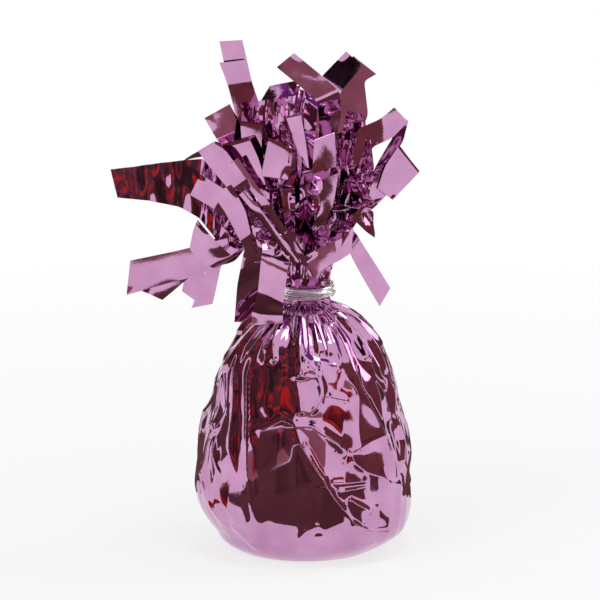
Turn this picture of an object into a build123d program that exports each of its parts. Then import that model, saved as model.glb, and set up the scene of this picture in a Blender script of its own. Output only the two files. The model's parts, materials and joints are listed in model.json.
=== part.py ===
from build123d import *
import math
import os
from collections import namedtuple

# A foil balloon weight: a sachet of sand wrapped in one sheet of metallised film,
# gathered at the neck by a wound elastic strand, with the sheet's edge slit into strips.
# Millimetres, +Z up, origin at the middle of the flat base.

# Sheet of metallised film, drawn thicker than the real 0.03 mm so that it has two skins
FILM = 0.25
CLEARANCE = 0.3

# Sack and neck, measured over the crests of the pleats
SACK_RADIUS = 29.3
NECK_HEIGHT = 71.0
NECK_RADIUS = 6.8
RUFF_HEIGHT = 17.0
RIM_RADIUS = 13.0
PLEATS = 18

# Heights as shares of NECK_HEIGHT, crest radii as shares of SACK_RADIUS, at each height the
# share of the crest radius that the valleys between the pleats keep, and how far the settled
# sack leans out to its left and to its right, as shares of SACK_RADIUS
sack_profile_shares = [
    (0.0, 0.65, 0.995, 0.0, 0.0),
    (0.021, 0.743, 0.995, 0.0, 0.0),
    (0.042, 0.814, 0.992, -0.024, 0.02),
    (0.078, 0.889, 0.985, -0.05, 0.047),
    (0.127, 0.946, 0.984, -0.009, 0.05),
    (0.183, 0.988, 0.982, 0.032, 0.046),
    (0.24, 1.005, 0.98, 0.046, 0.017),
    (0.34, 0.997, 0.978, 0.027, -0.002),
    (0.48, 0.952, 0.965, -0.01, -0.005),
    (0.62, 0.863, 0.947, -0.02, 0.007),
    (0.745, 0.747, 0.927, -0.02, 0.014),
    (0.83, 0.62, 0.893, -0.022, 0.015),
    (0.887, 0.488, 0.83, -0.003, 0.008),
    (0.923, 0.375, 0.762, 0.0, 0.0),
]
neck_valley_share = 0.5
rim_inner_share = 0.65
rim_crown_share = 0.35
ruff_throat_share = 0.35
ruff_throat_radius_share = 1.12

# Sachet and sand
BAG_FILM = 0.3
BAG_CLEARANCE = 0.2
SEAL_WIDTH = 16.0
SEAL_HEIGHT = 4.0
bag_levels = 12
sand_level_share = 0.93

# Elastic strand wound round the neck
STRAND = 0.9
STRAND_GAP = 0.45
strand_turns = 3
strand_sides = 8
quarters_per_turn = 4
samples_per_turn = 60

# Fringe strips: widths across the film, and the length that run shares refer to
STRIP_LENGTH = 40.0
STRIP_WIDTH = 7.0
ROOT_WIDTH = 3.2
BEND_RADIUS = 0.9
OUTER_TAPER = 8.0
INNER_TAPER = 10.0
CROWN_TAPER = 16.0
longest_taper_share = 0.7
bend_step_angle = 50.0

# One strip of the fringe. Lift raises it from level, swing turns it off the radial
# direction and roll turns it on its own axis, all in degrees. Each fold is its angle
# and the skew of its line, and tip_skew slants the cut end.
Strip = namedtuple("Strip", "lift swing roll run_shares folds width_share tip_skew")

# Strips on the crests of the pleats, anticlockwise from +X
outer_strips = [
    Strip(51, -1, 97, (0.42, 0.19), ((25, -14),), 1.0, 10),
    Strip(60, -8, 60, (0.40, 0.42), ((18, 10),), 0.9, -20),
    Strip(10, 0, 20, (0.20, 0.22), ((25, 0),), 0.9, 25),
    Strip(35, 6, 20, (0.32, 0.46), ((46, 2),), 0.87, 9),
    Strip(8, 0, 10, (0.30, 0.55), ((38, 0),), 1.0, 12),
    Strip(36, 0, -20, (0.35, 0.55), ((40, 8),), 1.0, 0),
    Strip(-6, 0, 15, (0.30, 0.55), ((30, 0),), 1.0, -15),
    Strip(-37, 36, 87, (0.31, 0.41), ((6, -29),), 0.8, -22),
    Strip(-80, 0, 0, (0.35, 0.30), ((-8, 0),), 0.95, 0),
    Strip(21, -16, 108, (0.35, 0.65), ((6, 6),), 1.4, 8),
    Strip(-24, 0, 78, (0.30, 0.60), ((-8, 0),), 1.08, 8),
    Strip(48, -20, 70, (0.33, 0.42), ((-12, 0),), 1.0, 10),
    Strip(-63, 14, -24, (0.20, 0.26, 0.17), ((24, 15), (10, 14)), 1.1, -13),
    Strip(-68, 136, -61, (0.14, 0.16), ((-4, -24),), 0.55, -14),
    Strip(70, 40, -40, (0.23, 0.19), ((-11, 18),), 0.65, 25),
    Strip(64, 0, 30, (0.22, 0.30), ((55, -6),), 0.85, 14),
    Strip(-50, -76, -73, (0.15, 0.23), ((49, 19),), 0.72, 0),
    Strip(-60, 12, 60, (0.22, 0.30), ((-6, 0),), 0.95, 18),
]

# Strips on the shallow valleys of the rim, anticlockwise from half a pleat off +X
inner_strips = [
    Strip(64, -10, 75, (0.40, 0.37), ((10, -8),), 1.0, 12),
    Strip(59, 5, 19, (0.39, 0.35), ((38, 1),), 0.81, -1),
    Strip(58, 0, 0, (0.45, 0.50), ((55, 0),), 1.0, 10),
    Strip(36, 7, 4, (0.75, 0.33), ((61, 5),), 0.7, 20),
    Strip(62, 0, 88, (0.50, 0.37), ((6, 0),), 1.0, 0),
    Strip(74, -36, 72, (0.73, 0.47), ((152, 6),), 0.95, 10),
    Strip(80, -8, 8, (0.62, 0.26), ((155, 0),), 0.95, 6),
    Strip(83, 22, -20, (0.70, 0.26), ((155, 6),), 0.85, -8),
    Strip(84, 0, 10, (0.40, 0.25), ((130, 0),), 0.9, 10),
]

# Strips on the deep valleys of the rim, anticlockwise from one and a half pleats off +X
crown_strips = [
    Strip(74, -6, 66, (0.97, 0.13), ((5, -17),), 0.94, 26),
    Strip(75, 10, 178, (0.59, 0.36), ((-30, -18),), 0.77, -4),
    Strip(72, 12, -60, (0.60, 0.50), ((40, 0),), 1.0, 0),
    Strip(55, -29, 55, (0.47, 0.29), ((33, 5),), 1.0, 4),
    Strip(74, -8, 92, (0.75, 0.55), ((-10, 12),), 1.0, 0),
    Strip(79, -34, -113, (0.80, 0.20), ((11, 16),), 0.7, -10),
    Strip(80, 0, 0, (0.90, 0.30), ((110, -10),), 0.9, 0),
    Strip(87, 0, -40, (0.90, 0.35), ((165, 66),), 0.9, 0),
    Strip(84, 8, -85, (0.82, 0.47), ((165, -58),), 0.95, 0),
]

RIM_HEIGHT = NECK_HEIGHT + RUFF_HEIGHT
BAND_HEIGHT = strand_turns * (STRAND + STRAND_GAP) + STRAND
PLEAT_ANGLE = 360 / PLEATS


def turn(vector, axis, angle):
    """The vector turned about an axis through the origin."""
    return vector.rotate(Axis((0, 0, 0), axis), angle)


def mitre(normal, next_normal):
    """The way from a fold line to where two skins, each one unit off their planes, meet."""
    return (normal + next_normal) * (1 / (1 + normal.dot(next_normal)))


# Gathered wrapper
def wrap_levels():
    """Height, crest radius, the two valley shares and the two leans of each section of the wrapper."""
    levels = []
    for height_share, radius_share, valley_share, *lean_shares in sack_profile_shares:
        height = height_share * NECK_HEIGHT
        leans = [share * SACK_RADIUS for share in lean_shares]
        levels.append((height, radius_share * SACK_RADIUS, valley_share, valley_share, *leans))
    for height in (NECK_HEIGHT - BAND_HEIGHT / 2, NECK_HEIGHT + BAND_HEIGHT / 2):
        levels.append((height, NECK_RADIUS, neck_valley_share, neck_valley_share))
    throat = NECK_HEIGHT + BAND_HEIGHT / 2 + ruff_throat_share * (RUFF_HEIGHT - BAND_HEIGHT / 2)
    throat_radius = ruff_throat_radius_share * NECK_RADIUS
    levels.append((throat, throat_radius, neck_valley_share, neck_valley_share))
    levels.append((RIM_HEIGHT, RIM_RADIUS, rim_inner_share, rim_crown_share))
    return levels


def pleated_ring(height, crest_radius, inner_share, crown_share, left=0, right=0, depth=0):
    """Closed star of crests and valleys that leans to its sides, moved in by a depth."""
    corners = []
    for number in range(2 * PLEATS):
        angle = number * PLEAT_ANGLE / 2
        sideways = math.cos(math.radians(angle))
        lean = (right if sideways > 0 else left) * sideways ** 2
        valley_share = crown_share if number % 4 == 3 else inner_share
        share = valley_share if number % 2 else 1
        corners.append(Vector(crest_radius * share + lean, 0, 0).rotate(Axis.Z, angle))
    ring = []
    for number, corner in enumerate(corners):
        after = corners[(number + 1) % len(corners)]
        inward = (corner - corners[number - 1]).normalized().rotate(Axis.Z, 90)
        next_inward = (after - corner).normalized().rotate(Axis.Z, 90)
        moved = corner + mitre(inward, next_inward) * depth
        ring.append(Vector(moved.X, moved.Y, height))
    return ring


def polygon(*corners):
    """A flat face with straight sides."""
    return Face(Wire.make_polygon(corners, close=True))


def facets_between(lower, upper):
    """Flat facets that join two rings with as many corners."""
    facets = []
    for number, corner in enumerate(lower):
        before = number - 1
        facets.append(polygon(lower[before], corner, upper[number]))
        facets.append(polygon(lower[before], upper[number], upper[before]))
    return facets


def foil_wrap():
    """The gathered sheet: flat base, pleated sack, tied neck and open ruff, one film thick."""
    levels = wrap_levels()
    outside = [pleated_ring(*level) for level in levels]
    inside = []
    for height, *section in levels:
        inside.append(pleated_ring(max(height, FILM), *section, depth=FILM))
    facets = [polygon(*outside[0]), polygon(*inside[0])]
    facets += facets_between(outside[-1], inside[-1])
    for skin in (outside, inside):
        for lower, upper in zip(skin, skin[1:]):
            facets += facets_between(lower, upper)
    return Solid(Shell(facets))


# Sachet of sand inside the wrapper
def sachet(depth, top_share):
    """Solid sack kept a depth inside the valleys of the wrapper, with a flat top."""
    levels = []
    for height, crest, valley_share, _, *leans in wrap_levels()[:bag_levels]:
        levels.append((height, crest * valley_share, *leans))
    below, above = levels[-2:]
    top = top_share * above[0] - depth
    rise = (top - below[0]) / (above[0] - below[0])
    levels[-1] = [low + rise * (high - low) for low, high in zip(below, above)]
    rings = []
    for height, radius, *leans in levels:
        rings.append(pleated_ring(max(height, depth), radius - depth, 1, 1, *leans))
    return Solid.make_loft([Wire.make_polygon(ring, close=True) for ring in rings], ruled=True)


def inner_bag():
    """Clear sachet with the crimped fin of its seal standing on top."""
    bag = sachet(FILM + CLEARANCE, 1)
    fin = Pos(0, 0, bag.bounding_box().max.Z) * Box(
        SEAL_WIDTH, 2 * BAG_FILM, SEAL_HEIGHT, align=(Align.CENTER, Align.CENTER, Align.MIN)
    )
    return bag - sachet(FILM + CLEARANCE + BAG_FILM, 1) + fin


def sand_fill():
    """The sand, settled to a level below the top of its sachet."""
    return sachet(FILM + CLEARANCE + BAG_FILM + BAG_CLEARANCE, sand_level_share)


# Wound elastic strand
def biarc(start, start_way, end, end_way):
    """Two arcs that leave one point and reach another along given unit directions."""
    span = end - start
    ways = start_way + end_way
    share = 2 * (1 - start_way.dot(end_way))
    reach = (math.sqrt(span.dot(ways) ** 2 + share * span.dot(span)) - span.dot(ways)) / share
    first = start + start_way * reach
    second = end - end_way * reach
    middle = (first + second) * 0.5
    return [
        TangentArc(start, middle, tangent=start_way),
        TangentArc(middle, end, tangent=second - first),
    ]


def neck_band():
    """One strand wound round the neck in open turns, with short straight ends."""
    radius = NECK_RADIUS + CLEARANCE + STRAND / 2
    pitch = STRAND + STRAND_GAP
    bottom = NECK_HEIGHT - strand_turns * pitch / 2
    stations = []
    for quarter in range(strand_turns * quarters_per_turn + 1):
        turns = quarter / quarters_per_turn
        angle = math.radians(360 * turns)
        point = Vector(radius * math.cos(angle), radius * math.sin(angle), bottom + pitch * turns)
        rise = pitch / (2 * math.pi * radius)
        stations.append((point, Vector(-math.sin(angle), math.cos(angle), rise).normalized()))
    first, first_way = stations[0]
    last, last_way = stations[-1]
    edges = [Line(first - first_way * STRAND, first)]
    for (point, way), (next_point, next_way) in zip(stations, stations[1:]):
        edges += biarc(point, way, next_point, next_way)
    edges.append(Line(last, last + last_way * STRAND))
    path = Wire(edges)
    print("strand gap to itself", round(least_gap(path, radius), 3))
    section = Plane(origin=path @ 0, z_dir=path % 0) * RegularPolygon(STRAND / 2, strand_sides)
    band = sweep(section, path=path)
    swept_share = band.volume / (section.area * path.length)
    print("strand volume over section times length", round(swept_share, 4))
    return band


def least_gap(path, radius):
    """Least distance between two stretches of the strand that are over half a turn apart."""
    samples = samples_per_turn * strand_turns
    points = [path @ (number / samples) for number in range(samples + 1)]
    apart = int(math.pi * radius / (path.length / samples))
    gaps = []
    for number, point in enumerate(points):
        gaps += [(point - other).length for other in points[number + apart:]]
    return min(gaps) - STRAND


# Fringe
def strip_root(strip, place, azimuth):
    """Where a strip starts, the way it leaves, and the line of its root crease."""
    heading = azimuth + strip.swing
    across = Vector(0, 1, 0).rotate(Axis.Z, heading)
    along = turn(Vector(1, 0, 0).rotate(Axis.Z, heading), across, -strip.lift)
    across = turn(across, along, strip.roll)
    corner_drop = abs(across.Z) * ROOT_WIDTH / 2
    return place + Vector(0, 0, corner_drop), along, across


def folded_strip(strip, place, azimuth, taper):
    """A strip of film that widens from its root and bends along each of its fold lines."""
    root, along, across = strip_root(strip, place, azimuth)
    normal = along.cross(across)
    half_width = strip.width_share * STRIP_WIDTH / 2

    def line_of(skew):
        """Half of a line across the strip, slanted by the skew."""
        slant = math.radians(skew)
        return (along * math.tan(slant) + across) * half_width

    runs = [share * STRIP_LENGTH for share in strip.run_shares]
    widened = min(taper, longest_taper_share * runs[0])
    stations = [
        (root, across * (ROOT_WIDTH / 2), normal),
        (root + along * widened, across * half_width, normal),
    ]
    point = root
    for run, (angle, skew) in zip(runs, strip.folds):
        point = point + along * run
        steps = max(1, round(abs(angle) / bend_step_angle))
        step_angle = angle / steps
        facet = 2 * BEND_RADIUS * math.tan(math.radians(abs(step_angle) / 2))
        axis = line_of(skew)
        for step in range(steps):
            if step:
                point = point + normal.cross(axis.normalized()) * -facet
            across = turn(across, axis, step_angle)
            along = turn(along, axis, step_angle)
            bent = along.cross(across)
            stations.append((point, axis, mitre(normal, bent)))
            normal = bent
    point = point + along * runs[-1]
    stations.append((point, line_of(strip.tip_skew), normal))
    return film_along(stations)


def film_along(stations):
    """Solid one film thick through lines across a strip, mitred where the strip bends."""
    sections = []
    for point, line, way in stations:
        lift = way * (FILM / 2)
        left = point + line
        right = point - line
        sections.append((left + lift, right + lift, right - lift, left - lift))
    faces = [polygon(*sections[0]), polygon(*sections[-1])]
    for here, there in zip(sections, sections[1:]):
        faces.append(polygon(here[0], here[1], there[1], there[0]))
        faces.append(polygon(here[2], here[3], there[3], there[2]))
        for upper, lower in ((1, 2), (0, 3)):
            faces.append(polygon(here[upper], here[lower], there[lower]))
            faces.append(polygon(here[upper], there[lower], there[upper]))
    return Solid(Shell(faces))


def fringe_places():
    """Each strip by name, with its row, where it meets the rim, its azimuth and its taper."""
    shallow = rim_inner_share * RIM_RADIUS
    deep = rim_crown_share * RIM_RADIUS
    above_rim = RIM_HEIGHT + CLEARANCE
    rings = [
        ("outer", outer_strips, 0, 1, RIM_RADIUS + CLEARANCE, RIM_HEIGHT, OUTER_TAPER),
        ("inner", inner_strips, 0.5, 2, shallow, above_rim, INNER_TAPER),
        ("crown", crown_strips, 1.5, 2, deep, above_rim, CROWN_TAPER),
    ]
    places = {}
    for ring, rows, first_pleat, pleat_step, radius, height, taper in rings:
        for number, strip in enumerate(rows):
            azimuth = (first_pleat + pleat_step * number) * PLEAT_ANGLE
            place = Vector(radius, 0, height).rotate(Axis.Z, azimuth)
            places[f"{ring}_strip_{number + 1:02d}"] = (strip, place, azimuth, taper)
    return places


def main():
    os.makedirs("parts", exist_ok=True)
    pieces = {
        "sand_fill": sand_fill(),
        "inner_bag": inner_bag(),
        "foil_wrap": foil_wrap(),
        "neck_band": neck_band(),
    }
    for name, place in fringe_places().items():
        pieces[name] = folded_strip(*place)
    for name, solid in pieces.items():
        export_step(solid, f"parts/{name}.step")


main()
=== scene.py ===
"""Looks of a foil balloon weight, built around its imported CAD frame.

Shapes are worked out in millimetres in the frame's axes (+Z up, base on the floor) and turned into metres
when a mesh is made.
"""

import json
import math
from collections import namedtuple

import bpy
import numpy as np
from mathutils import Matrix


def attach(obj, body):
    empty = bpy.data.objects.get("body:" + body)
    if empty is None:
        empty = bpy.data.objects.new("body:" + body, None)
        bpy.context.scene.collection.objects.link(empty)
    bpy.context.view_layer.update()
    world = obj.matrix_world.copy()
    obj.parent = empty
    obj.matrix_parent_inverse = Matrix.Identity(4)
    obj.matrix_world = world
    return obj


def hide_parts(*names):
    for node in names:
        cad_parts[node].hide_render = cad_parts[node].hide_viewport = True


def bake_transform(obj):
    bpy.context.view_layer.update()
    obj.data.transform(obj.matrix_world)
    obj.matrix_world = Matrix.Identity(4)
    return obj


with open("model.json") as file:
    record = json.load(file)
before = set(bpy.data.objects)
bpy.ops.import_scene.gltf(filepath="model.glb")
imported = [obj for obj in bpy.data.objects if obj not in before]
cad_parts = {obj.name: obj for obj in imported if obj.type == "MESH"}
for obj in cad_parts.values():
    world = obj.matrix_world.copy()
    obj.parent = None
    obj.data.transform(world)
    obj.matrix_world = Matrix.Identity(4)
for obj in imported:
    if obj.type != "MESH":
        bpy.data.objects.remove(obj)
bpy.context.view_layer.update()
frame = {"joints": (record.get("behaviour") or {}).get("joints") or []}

MM = 0.001

# Keeps a vector of no length from being divided by zero
TINY = 1e-12

# Photograph: millimetres a pixel, where the foot of the axis is, and how high the camera looks from
PIXEL = 0.27
AXIS_COLUMN = 305.0
BASE_ROW = 546.0
FRAME_PIXELS = 600.0
CAMERA_ELEVATION = 12.0
CAMERA_DISTANCE = 1500.0
SENSOR_WIDTH = 36.0

# Wrapper, with the main sizes of the CAD source
SACK_RADIUS = 29.3
NECK_HEIGHT = 71.0
NECK_RADIUS = 6.8
BAND_HEIGHT = 4.95
THROAT_HEIGHT = 78.6
THROAT_RADIUS = 7.6
RIM_HEIGHT = 88.0
RIM_RADIUS = 13.0
PLEATS = 18
PLEAT_ANGLE = 2 * math.pi / PLEATS
CLEARANCE = 0.3

# Radius at a valley as a share of the radius at a crest. At the neck and throat the film's valleys are
# shallower than those of the CAD source, which the roots of the strips aim from.
FILM_VALLEY_SHARE = 0.8
NECK_VALLEY_SHARE = 0.5
RIM_INNER_SHARE = 0.65
RIM_CROWN_SHARE = 0.35

# Levels of the sack: shares of the neck's height, of the sack's radius, and of the level's radius at a valley
sack_profile_shares = [
    (0.0, 0.65, 0.995),
    (0.021, 0.743, 0.995),
    (0.042, 0.814, 0.992),
    (0.078, 0.889, 0.985),
    (0.127, 0.946, 0.984),
    (0.183, 0.988, 0.982),
    (0.24, 1.005, 0.98),
    (0.34, 0.997, 0.978),
    (0.48, 0.952, 0.965),
    (0.62, 0.863, 0.947),
    (0.745, 0.747, 0.927),
    (0.83, 0.62, 0.893),
    (0.887, 0.488, 0.83),
    (0.923, 0.375, 0.762),
]

# Wrapper mesh
COLUMNS = 396
ROW_STEP = 0.48
PROFILE_SAMPLES = 1200
BASE_RINGS = 8
SHARP_EDGE = math.radians(60)

# How the pleats wander round the sack: angle, waves in a round, phase and turn with height
pleat_warps = [(0.06, 2, 1.1, 0.0), (0.04, 5, 0.4, 0.03), (0.02, 9, 0.0, 0.05)]
WARP_FADE = (58.0, NECK_HEIGHT - 3)

# Heights between which the valleys of the pleats begin, on the back and on the front, how far above that they
# are at full depth, and the share of the depth that they have below
PLEAT_SEED = 4
BACK_FEET = (22, 52)
FRONT_FEET = (44, 58)
PLEAT_RISE = 16.0
LEAST_DEPTH = 0.12

# Where the sack isn't round: heights, and how far it stands out there on the left and on the right
lean_heights = [0.0, 5.0, 10.0, 19.0, 30.0, 41.0, 54.0, 62.0, 66.0, 68.5]
lean_left = [-1.0, -1.9, -0.6, 0.8, 0.2, -1.6, -1.2, -0.4, 0.0, 0.0]
lean_right = [1.2, 1.2, 0.6, -0.8, -0.2, -0.2, 0.0, 1.4, 1.8, 0.0]

# Noise on the film: height, size of its waves or facets, and seed
Relief = namedtuple("Relief", "height size seed")
SACK_SWELLS = Relief(0.4, 26.0, 3)
SACK_WAVES = Relief(0.05, 10.0, 5)
SACK_CRINKLES = Relief(0.08, 2.0, 9)
RUFF_CRINKLES = Relief(0.5, 2.8, 6)
WAVE_COUNT = 7
WAVE_SPREAD = (0.7, 1.5)
FACET_COUNT = 6
FACET_SPREAD = (0.6, 1.6)

# Heights between which relief rises and falls off again, and the most that it stands out
SACK_FADES = (0.2, 6, 64, NECK_HEIGHT - 2.5)
RUFF_FADES = (NECK_HEIGHT + 2, NECK_HEIGHT + 6, 86, RIM_HEIGHT)
HIGHEST_LIFT = 1.6

# Fine gathers above and below the band: how many in a round, how deep, how they sway, and how they rise and
# fall off away from the band
GATHER_SEED = 21
GATHER_COUNTS = (11, 17, 25)
GATHER_DEPTH = 0.14
GATHER_SWAYS = (0.3, 0.9)
GATHER_TWISTS = (0.1, 0.25)
GATHER_FADES = (0, 3, 6, 17)
PHASES = (0, 6)

# A crease is a ridge: how rounded its top is, over which share of its length its ends rise, and how many
# times its width it reaches
RIDGE_ROUNDING = 0.2
RIDGE_ENDS = (-0.02, 0.12)
RIDGE_REACH = 4
CREASE_STEP = 1.0
SIGHT_ROUNDS = 12

# Creases of the front of the sack: height of the ridge, how fast it falls off on its two sides,
# and the pixels of the photograph that it runs through
front_creases = [
    (1.3, 1.2, 4.2, [
        (318, 298), (333, 335), (342, 363), (350, 376), (367, 405), (382, 430), (390, 452), (397, 481),
    ]),
    (-0.6, 2.0, 2.0, [(346, 341), (362, 367), (386, 394), (397, 428)]),
    (0.9, 1.2, 3.0, [(250, 428), (264, 426), (283, 417), (296, 423), (312, 424), (338, 442), (347, 453)]),
    (1.0, 1.0, 2.0, [(296, 423), (303, 446), (314, 465), (322, 477), (333, 496), (349, 518), (370, 548)]),
    (0.5, 1.2, 1.2, [(347, 453), (370, 440), (384, 433)]),
    (0.6, 1.2, 2.2, [(347, 454), (366, 470), (381, 476), (388, 483), (406, 485)]),
    (0.7, 1.4, 2.4, [(303, 300), (303, 350), (307, 358), (322, 383), (323, 394), (314, 409), (305, 418)]),
    (1.3, 0.8, 2.6, [(240, 345), (235, 391), (232, 433), (235, 461), (240, 492), (248, 514), (259, 549)]),
    (1.1, 0.8, 2.0, [(251, 354), (248, 420), (250, 446), (250, 465), (264, 536)]),
    (0.5, 0.9, 1.6, [(268, 341), (266, 383), (264, 407), (270, 420)]),
    (0.5, 1.0, 2.0, [(225, 369), (224, 409), (213, 433)]),
    (0.4, 1.0, 1.0, [(213, 448), (224, 461), (232, 453)]),
    (0.3, 0.9, 1.8, [(320, 531), (322, 481)]),
    (0.3, 0.9, 1.8, [(320, 531), (296, 551)]),
    (0.3, 0.8, 1.4, [(320, 531), (321, 557)]),
    (0.3, 0.9, 1.8, [(320, 531), (342, 518)]),
    (0.2, 0.9, 1.4, [(320, 531), (330, 551)]),
    (0.2, 0.9, 1.4, [(320, 531), (304, 543)]),
    (0.6, 1.0, 2.0, [(346, 496), (370, 512)]),
    (0.5, 1.0, 2.0, [(346, 522), (392, 535)]),
    (0.5, 1.0, 2.0, [(329, 481), (368, 478)]),
    (0.5, 1.0, 2.0, [(335, 490), (368, 485)]),
    (0.5, 0.8, 1.5, [(296, 369), (300, 394), (302, 416)]),
    (0.6, 0.9, 2.2, [(305, 357), (322, 361), (340, 366)]),
    (0.3, 0.8, 1.2, [(325, 394), (348, 400)]),
    (0.9, 0.6, 1.6, [(213, 433), (222, 470), (236, 510), (246, 535)]),
    (0.7, 0.6, 1.2, [(203, 470), (212, 500), (228, 527)]),
    (1.0, 0.7, 1.4, [(236, 486), (241, 505), (249, 524)]),
    (1.0, 0.7, 1.4, [(234, 522), (247, 537), (258, 550)]),
    (0.9, 0.7, 1.4, [(294, 542), (306, 528), (320, 521)]),
    (0.8, 0.7, 1.4, [(348, 525), (368, 533), (390, 531)]),
]

# Patches of fine crinkles on the front: the pixel at the middle, and the size
front_crinkles = [((313, 372), 4.0), ((322, 482), 3.6), ((296, 366), 3.0), ((395, 400), 4.0)]

# Creases that the photograph doesn't show, in three kinds. Their sizes are ranges of the height and of the
# fall-off on two sides.
LOOSE_SEED = 12

# Creases that fan out below the neck
FANS = 24
FAN_POINTS = 5
FAN_SHIFT = 0.35
FAN_TOP = NECK_HEIGHT - 3
FAN_FEET = (44, 60)
FAN_TURN = 0.16
FAN_SIZES = ((0.7, 1.4), (0.7, 1.2), (1.2, 2.6))

# Long falls on the sides and back, which start at an azimuth in degrees and are so far apart
FALLS = 15
FALL_POINTS = 6
FALL_START = -18
FALL_APART = 15.5
FALL_SHIFT = 0.08
FALL_TOPS = (58, 66)
FALL_FEET = (4, 34)
FALL_WANDER = 0.11
FALL_SIZES = ((0.6, 1.1), (0.9, 1.5), (1.8, 4.0))

# Cross creases on the sides and back
CROSSES = 16
CROSS_POINTS = 5
CROSS_START = -14
CROSS_APART = 14
CROSS_SHIFT = 0.1
CROSS_HEIGHTS = (12, 50)
CROSS_SPANS = (0.25, 0.6)
CROSS_WANDER = 2.2
CROSS_SIZES = ((0.3, 0.8), (0.8, 1.3), (1.2, 3.0))

# Fringe, with the main sizes of the CAD source
STRIP_LENGTH = 40.0
STRIP_WIDTH = 7.0
ROOT_WIDTH = 3.2
LONGEST_TAPER_SHARE = 0.7
OUTER_TAPER = 8.0
INNER_TAPER = 10.0

# Fringe, the film's own sizes
FOIL_THICKNESS = 0.1
STRIP_STEP = 0.6
STRIP_COLUMNS = 13
OVERLAP = 1.6
OVERLAP_LIFT = 0.12
ROOT_SPREAD = 0.5
TAPER_START = -2.0
SHARP_BEND = 0.7
SOFT_BEND = 4.0
SOFT_BEND_ANGLE = 46.0
FOLD_EASE = 3
FOLD_CALM = 0.7
FOLD_CALM_REACH = 1.2
STRIP_SEED = 100
LAYER_SEED = 300

# The layer behind a flat strip: its gap and the run over which that opens, by how many degrees it is fanned
# out and over which run, and which share of the second run it has
LAYER_GAP = 0.4
GAP_RUN = 4.0
LAYER_FANS = (7, 15)
LAYER_FAN_RUN = 5.0
LAYER_SHARES = (0.78, 1.0)

# Relief of a strip's film. Film of more than a little crumple has more facets, and film that is crumpled all
# over has small lengthwise pleats too. It grows toward the root and fades out at the rim. One corner of the
# tip is turned up.
STRIP_FACETS = Relief(0.035, 11.0, 50)
STRIP_WAVES = Relief(0.1, 24.0, 90)
CRUMPLE_FACETS = Relief(0.12, 7.0, 70)
CRUMPLE_SWAY = Relief(1.0, 16.0, 30)
CRUMPLE_PLEAT_DEPTH = 0.14
CRUMPLE_PLEAT_RATE = 2.6
LITTLE_CRUMPLE = 2.0
DEEP_CRUMPLE = 5.0
ROOT_CRUMPLE = 4.0
ROOT_CRUMPLE_FADE = (4, 18)
ROOT_FREE = (1, 6)
CAMBERS = (-0.08, 0.08)
CORNER_START = 0.45
CORNER_LENGTH = 4.0
CORNER_RISES = (0.1, 0.4)

# How far from the rim a strip's root stays gathered
GATHERED = 12.0
gathered_lengths = {
    "outer_strip_01": 7.0,
    "outer_strip_08": 6.0,
    "outer_strip_09": 5.0,
    "outer_strip_10": 9.0,
    "outer_strip_11": 5.0,
    "outer_strip_12": 7.0,
    "outer_strip_13": 4.0,
    "outer_strip_14": 4.0,
    "outer_strip_15": 4.0,
    "outer_strip_17": 3.0,
    "outer_strip_18": 4.0,
}

# Strips that the photograph doesn't show, as flat runs with one fold. Angles are in degrees.
Strip = namedtuple("Strip", "lift roll run_shares fold skew width_share tip_skew taper crumple")
hidden_strips = {
    "outer_strip_05": Strip(8, 10, (0.30, 0.55), 38, 0, 1.0, 12, OUTER_TAPER, 1),
    "outer_strip_06": Strip(36, -20, (0.35, 0.55), 40, 8, 1.0, 0, OUTER_TAPER, 1),
    "outer_strip_07": Strip(-6, 15, (0.30, 0.55), 30, 0, 1.0, -15, OUTER_TAPER, 1),
    "outer_strip_16": Strip(64, 30, (0.22, 0.30), 55, -6, 0.85, 14, OUTER_TAPER, 3),
    "inner_strip_03": Strip(58, 0, (0.45, 0.50), 55, 0, 1.0, 10, INNER_TAPER, 1),
}

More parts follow.
